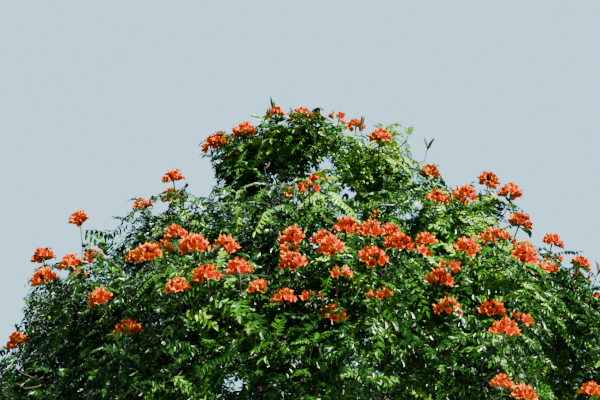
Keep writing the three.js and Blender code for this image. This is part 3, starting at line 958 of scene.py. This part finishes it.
def add_pods(pods, stalks, shoots, rng):
    """Slim upright boats, pointed at both ends, on a bare stalk that goes on from the shoot."""
    turns = turns_round(POD_SIDES)
    shape = [np.zeros((1, 3))]
    for z, wide in POD_RINGS:
        ring = np.stack([POD["width"] * np.cos(turns), POD["depth"] * np.sin(turns)], -1) * wide
        bow = POD["bow"] * math.sin(math.pi * z)
        shape.append(np.column_stack([ring + [0, bow], np.full(POD_SIDES, z * POD["length"])]))
    shape = np.concatenate([*shape, [[0, 0, POD["length"]]]])
    steps = len(POD_RINGS) - 1
    foot, tip = cap(1, POD_SIDES, 0, False), cap(1 + steps * POD_SIDES, POD_SIDES, len(shape) - 1, True)
    quads, ends = tube_quads(steps, POD_SIDES) + 1, np.concatenate([foot, tip])
    for shoot in shoots:
        if not shoot.bears_pods:
            continue
        way = unit(shoot.axis + UP)
        top = shoot.tip + way * mix(*STALK_LENGTH, rng.random())
        stalks.append((shoot.tip - shoot.axis * STALK_FOOT, top, STALK_RADIUS["pods"]))
        count = rng.integers(*PODS_A_STALK)
        axes = unit(way + rng.normal(0, POD_SCATTER["way"], (count, 3)))
        roots = top - way * rng.uniform(0.0, POD_SCATTER["foot"], (count, 1))
        frames = turned(axes, rng.random(count) * 2 * math.pi)
        sizes = rng.uniform(*POD_SCATTER["size"], count)
        pods.add(placed(shape, roots, frames, sizes), quads, ends)


def add_stalks(batch, stalks):
    for foot, top, radius in stalks:
        places = np.linspace(foot, top, len(STALK_SWELL))
        add_tube(batch, places, radius * np.array(STALK_SWELL), STALK_SIDES)


# Materials

OBJECT_PLACE = 3
UNEVEN_SCALE = 7.0
BLACK, WHITE = (0, 0, 0), (1, 1, 1)


class Wire:
    """A node's output socket. Arithmetic on it adds Math nodes."""

    def __init__(self, nodes, socket):
        self.nodes, self.socket = nodes, socket

    def __add__(self, other):
        return self.nodes.maths("ADD", self, other)

    def __sub__(self, other):
        return self.nodes.maths("SUBTRACT", self, other)

    def __rsub__(self, other):
        return self.nodes.maths("SUBTRACT", other, self)

    def __mul__(self, other):
        return self.nodes.maths("MULTIPLY", self, other)

    __radd__ = __add__
    __rmul__ = __mul__


class Nodes:
    """The shader nodes of a material or of the world."""

    def __init__(self, owner):
        owner.use_nodes = True
        self.tree = owner.node_tree

    def node(self, kind, settings=None, output=0, **inputs):
        """settings are the node's own. An input is given by its name, or by i and its number."""
        made = self.tree.nodes.new("ShaderNode" + kind)
        for key, value in (settings or {}).items():
            if key == "stops":
                for k, (place, colour) in enumerate(value):
                    stops = made.color_ramp.elements
                    stop = stops[k] if k < 2 else stops.new(place)
                    stop.position, stop.color = place, (*colour, 1)
            else:
                setattr(made, key, value)
        for key, value in inputs.items():
            socket = made.inputs[int(key[1:]) if key[0] == "i" and key[1:].isdigit() else key]
            self.feed(socket, value)
        return Wire(self, made.outputs[output])

    def feed(self, socket, value):
        if isinstance(value, Wire):
            self.tree.links.new(value.socket, socket)
        elif isinstance(value, tuple) and len(value) == 3 and socket.type == "RGBA":
            socket.default_value = (*value, 1)
        else:
            socket.default_value = value

    def maths(self, operation, a, b):
        return self.node("Math", {"operation": operation}, i0=a, i1=b)


class Finish(Nodes):
    """One material: a Principled surface and the nodes that vary it."""

    def __init__(self, name, roughness, **sockets):
        self.material = bpy.data.materials.new(name)
        super().__init__(self.material)
        self.surface = self.tree.nodes["Principled BSDF"]
        self.set("Roughness", roughness)
        for socket, value in sockets.items():
            self.set(socket.replace("_", " "), value)

    def place(self, stretch):
        return self.node("Mapping", i0=self.node("TexCoord", output=OBJECT_PLACE), i3=stretch)

    def noise(self, scale, detail=3.0, stretch=(1, 1, 1), roughness=0.5):
        place = self.place(stretch)
        return self.node("TexNoise", i0=place, Scale=scale, Detail=detail, Roughness=roughness)

    def plates(self, scale, stretch, warp):
        """How far a place is from the edge of its plate, on plates with uneven edges."""
        place = self.place(stretch)
        uneven = self.node("TexNoise", output=1, i0=place, Scale=UNEVEN_SCALE, Detail=3.0)
        uneven = self.node("VectorMath", {"operation": "SCALE"}, i0=uneven, Scale=warp)
        place = self.node("VectorMath", {"operation": "ADD"}, i0=place, i1=uneven)
        return self.node("TexVoronoi", {"feature": "DISTANCE_TO_EDGE"}, Vector=place, Scale=scale)

    def blend(self, share, a, b):
        return self.node("Mix", {"data_type": "RGBA"}, output=2, i0=share, i6=a, i7=b)

    def steps(self, value, *stops):
        return self.node("ValToRGB", {"stops": stops}, i0=value)

    def bump(self, height, distance, strength=1.0):
        self.set("Normal", self.node("Bump", Strength=strength, Distance=distance, Height=height))

    def set(self, socket, value):
        self.feed(self.surface.inputs[socket], value)


def bark_finish(name, dark, mid, pale, moss):
    finish = Finish(name, roughness=0.9)
    plates = finish.plates(scale=17.0, stretch=(1, 1, 0.20), warp=0.22)
    grain = finish.noise(scale=60.0, detail=5.0, stretch=(1, 1, 0.35), roughness=0.65)
    lichen = finish.steps(finish.noise(scale=2.6), (0.52, BLACK), (0.68, WHITE))
    height = finish.steps(plates, (0.0, BLACK), (0.14, WHITE))
    colour = finish.steps(height * 0.4 + grain * 0.6, (0.24, dark), (0.52, mid), (0.82, pale))
    finish.set("Base Color", finish.blend(lichen * 0.45, colour, moss))
    finish.set("Roughness", 0.82 + grain * 0.16)
    finish.bump(height * 0.6 + grain * 0.4, distance=0.014)
    return finish.material


def leaf_finish(name, dark, pale, roughness):
    finish = Finish(name, roughness, Specular_IOR_Level=0.33, Specular_Tint=(0.76, 1.0, 0.66, 1))
    drift = finish.noise(scale=2.4, detail=2.0)
    mottle = finish.noise(scale=38.0)
    shade = finish.steps(drift * 0.6 + mottle * 0.4, (0.34, dark), (0.66, pale))
    finish.set("Base Color", shade)
    finish.set("Roughness", roughness - 0.05 + mottle * 0.12)
    finish.bump(mottle, distance=0.002, strength=0.35)
    return finish.material


def petal_finish(name, dark, pale, roughness=0.5):
    finish = Finish(name, roughness, Specular_IOR_Level=0.12, Specular_Tint=(1.0, 0.40, 0.08, 1))
    drift = finish.noise(scale=9.0, detail=2.0)
    crumple = finish.noise(scale=85.0)
    finish.set("Base Color", finish.steps(drift * 0.55 + crumple * 0.45, (0.36, dark), (0.64, pale)))
    finish.set("Roughness", roughness - 0.06 + crumple * 0.14)
    finish.bump(crumple, distance=0.003, strength=0.5)
    return finish.material


# Each finish has a dark and a pale colour, and its roughness where that is its own.
# The deep tone is kept very dark, partly painted shade, and the bright tone's pale end is lifted, partly
# painted sun glint.
LEAVES = {
    "leaf_deep_green": ((0.002, 0.016, 0.001), (0.006, 0.048, 0.002), 0.31),
    "leaf_mid_green": ((0.009, 0.060, 0.001), (0.038, 0.155, 0.006), 0.31),
    "leaf_bright_green": ((0.100, 0.285, 0.006), (0.240, 0.520, 0.035), 0.36),
    "leaf_yellow_green": ((0.150, 0.250, 0.016), (0.260, 0.350, 0.040), 0.40),
}
PETALS = {
    "bell_orange": ((0.68, 0.084, 0.001), (0.88, 0.150, 0.001)),
    "bell_scarlet": ((0.64, 0.050, 0.001), (0.83, 0.096, 0.001)),
    "bell_red": ((0.54, 0.026, 0.001), (0.73, 0.057, 0.001)),
    # The throat, at the foot of each bell, is a deeper red than the orange lobes: partly the flower's own
    # red, partly painted shade.
    "bell_throat_red_and_painted_shade": ((0.48, 0.026, 0.001), (0.68, 0.070, 0.001)),
    "frill_amber": ((0.76, 0.150, 0.001), (0.90, 0.265, 0.003)),
    "sheath_olive_brown": ((0.10, 0.060, 0.015), (0.22, 0.130, 0.035), 0.75),
    "pod_brown": ((0.055, 0.040, 0.020), (0.13, 0.10, 0.05), 0.7),
    "bud_dark_brown": ((0.045, 0.028, 0.010), (0.12, 0.070, 0.022), 0.7),
}
FINISHES = {
    "bark": bark_finish(
        "bark", dark=(0.020, 0.015, 0.011), mid=(0.055, 0.043, 0.031), pale=(0.105, 0.088, 0.066),
        moss=(0.065, 0.072, 0.045),
    ),
    "twig_bark": bark_finish(
        "twig_bark", dark=(0.014, 0.012, 0.006), mid=(0.034, 0.029, 0.015), pale=(0.065, 0.055, 0.030),
        moss=(0.030, 0.042, 0.012),
    ),
    **{name: leaf_finish(name, *look) for name, look in LEAVES.items()},
    **{name: petal_finish(name, *look) for name, look in PETALS.items()},
}


def finish_piece(name, batch, finish, nodes=(), smooth=True):
    piece = bpy.data.objects.new(name, batch.mesh(name, smooth))
    bpy.context.scene.collection.objects.link(piece)
    piece.data.materials.append(FINISHES[finish])
    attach(piece, "root")
    if nodes:
        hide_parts(*nodes)


# The tree

rng = np.random.default_rng(GROWTH_SEED)
masses = make_masses()
boughs = make_boughs(masses)
limb_nodes = ["trunk", *(f"bough_{mass.name}" for mass in masses)]
leaf_nodes = [f"foliage_{mass.name}" for mass in masses]

limb_batch = Batch()
add_trunk(limb_batch)
for bough in boughs.values():
    add_bough(limb_batch, bough)
finish_piece("limbs", limb_batch, "bark", limb_nodes)
limb_bvh = BVHTree.FromPolygons(
    [Vector(p) for p in np.concatenate(limb_batch.places)],
    [tuple(map(int, q)) for q in np.concatenate(limb_batch.quads)],
)

twig_batch = Batch()
shoots = []
for order, mass in enumerate(masses):
    bough = boughs[mass.name]
    stem = stem_path(mass, bough)
    branches = branch_paths(mass, stem, order)
    add_twig(twig_batch, stem, (bough.tip, STEM_TIP_RADIUS), "stem")
    for path in branches:
        add_twig(twig_batch, path, BRANCH_RADIUS, "branch")
    mass.paths = [stem, *branches]
    shoots += grow_shoots(mass, rng)
choose_bloom(masses, shoots, rng)
for mass in masses:
    shoots += [tall_shoot(mass, away) for away in TALL_SHOOTS.get(mass.name, ())]
for shoot in shoots:
    add_twig(twig_batch, shoot.path, SHOOT_RADIUS, "shoot")
    shoot.lightness = lightness(shoot, rng)

bells, buds, stalks = plan_heads(shoots, rng)
pod_batch = Batch()
add_pods(pod_batch, stalks, shoots, rng)
add_stalks(twig_batch, stalks)
finish_piece("twigs", twig_batch, "twig_bark")

rows = grow_leaves(masses, shoots, limb_bvh, rng)
for tone in TONES:
    for level, rings in LEVELS.items():
        batch = Batch()
        for kind in LEAF_KINDS:
            add_leaves(batch, [row for row in rows[tone] if row[0] in rings], kind, rng)
        nodes = leaf_nodes if (tone, level) == ("deep", "high") else ()
        finish_piece(f"leaves_{tone}_{level}", batch, f"leaf_{tone}_green", nodes=nodes, smooth=False)

throats, frills, sheaths, bud_batch = Batch(), Batch(), Batch(), Batch()
lobes = [Batch() for _ in LOBE_COLOURS]
add_bells(throats, lobes, frills, sheaths, bells, rng)
add_buds(bud_batch, buds, rng)
for name, batch in zip(LOBE_COLOURS, lobes):
    finish_piece(f"bell_lobes_{name}", batch, f"bell_{name}", smooth=False)
finish_piece("bell_throats", throats, "bell_throat_red_and_painted_shade")
finish_piece("bell_frills", frills, "frill_amber", smooth=False)
finish_piece("bell_sheaths", sheaths, "sheath_olive_brown")
finish_piece("buds", bud_batch, "bud_dark_brown")
finish_piece("pods", pod_batch, "pod_brown")

# Floor, light and camera

BACKDROP = {"colour": (0.45, 0.80, 1.0), "strength": 1.7}
SHADE_LIGHT = {"colour": (0.42, 0.78, 0.88), "strength": 0.24}
# Each lamp: where it shines from, its strength, its spread in degrees and its colour.
LAMPS = {
    "key": ((0.80, -0.46, 1.20), 25.0, 2.0, (0.95, 0.97, 0.80)),
    "back_fill": ((-0.5, 0.8, 0.7), 2.2, 30.0, (0.90, 0.95, 1.0)),
}


def add_floor():
    bpy.ops.mesh.primitive_circle_add(
        vertices=FLOOR["sides"], radius=FLOOR["radius"], fill_type="NGON", location=(0, 0, 0)
    )
    floor = bpy.context.object
    floor.name = "floor"
    finish = Finish("floor_pale", roughness=0.85)
    drift = finish.noise(scale=0.6)
    finish.set("Base Color", finish.steps(drift, (0.3, FLOOR["dark"]), (0.7, FLOOR["pale"])))
    floor.data.materials.append(finish.material)


def add_world():
    """A plain pale backdrop, with a weaker light of the same hue in the shade."""
    world = bpy.data.worlds.new("studio")
    nodes = Nodes(world)
    shade = nodes.tree.nodes["Background"]
    nodes.feed(shade.inputs["Color"], SHADE_LIGHT["colour"])
    nodes.feed(shade.inputs["Strength"], SHADE_LIGHT["strength"])
    pale = nodes.node("Background", Color=BACKDROP["colour"], Strength=BACKDROP["strength"])
    seen = nodes.node("LightPath", output="Is Camera Ray")
    choice = nodes.node("MixShader", i0=seen, i1=Wire(nodes, shade.outputs[0]), i2=pale)
    nodes.feed(nodes.tree.nodes["World Output"].inputs["Surface"], choice)
    bpy.context.scene.world = world


def add_lamps():
    for name, (source, strength, spread, colour) in LAMPS.items():
        sun = bpy.data.lights.new(name, "SUN")
        sun.energy, sun.angle, sun.color = strength, math.radians(spread), colour
        lamp = bpy.data.objects.new(name, sun)
        lamp.rotation_euler = Vector(source).to_track_quat("Z", "Y").to_euler()
        bpy.context.scene.collection.objects.link(lamp)


def add_camera():
    lens = bpy.data.cameras.new("camera")
    lens.sensor_width = SENSOR_WIDTH
    lens.lens = SENSOR_WIDTH * FOCAL_PIXELS / PICTURE_WIDTH
    lens.clip_end = CLIP_END
    camera = bpy.data.objects.new("camera", lens)
    camera.location = VIEWER
    camera.rotation_euler = (math.radians(90 + CAMERA_TILT), 0, 0)
    bpy.context.scene.collection.objects.link(camera)
    bpy.context.scene.camera = camera


add_floor()
add_world()
add_lamps()
add_camera()
